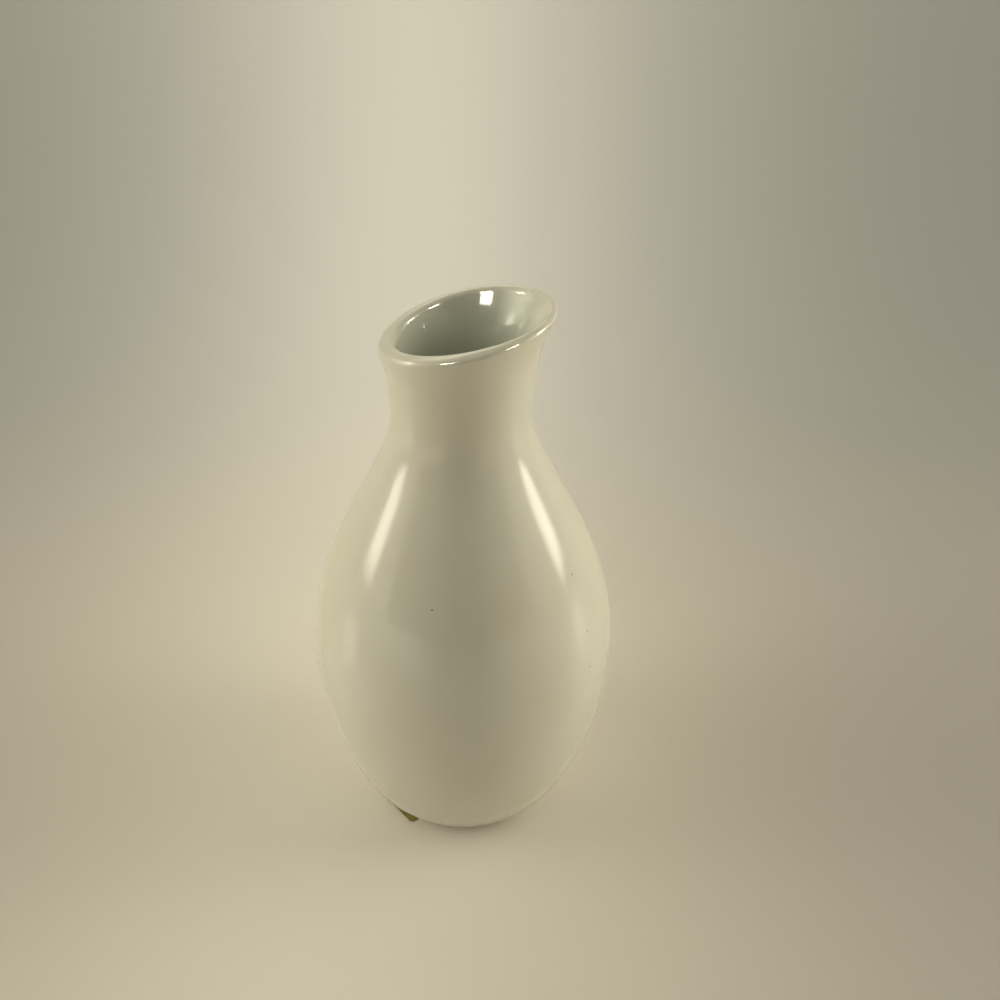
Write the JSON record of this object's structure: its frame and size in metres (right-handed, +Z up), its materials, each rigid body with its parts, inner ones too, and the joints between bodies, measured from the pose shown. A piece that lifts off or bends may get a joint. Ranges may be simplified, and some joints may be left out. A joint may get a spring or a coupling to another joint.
{
  "type": "bud vase",
  "caption": "Small pear-shaped bud vase in white glazed porcelain, with a waisted neck and a flared mouth cut on a slant, to hold a flower stem in water.",
  "frame": {"origin": "on the axis of the vase, in the plane that it stands on", "axes": "+Z up along the axis of the vase, +X towards the high side of its slanted mouth"},
  "size_m": [0.0684, 0.0684, 0.127],
  "materials": {
    "clay": "matte",
    "glaze": "gloss",
    "foil_label": "satin"
  },
  "bodies": {
    "root": {"porcelain_body": "clay", "glaze_coat": "glaze", "recess_glaze": "glaze", "base_label": "foil_label"}
  },
  "joints": []
}
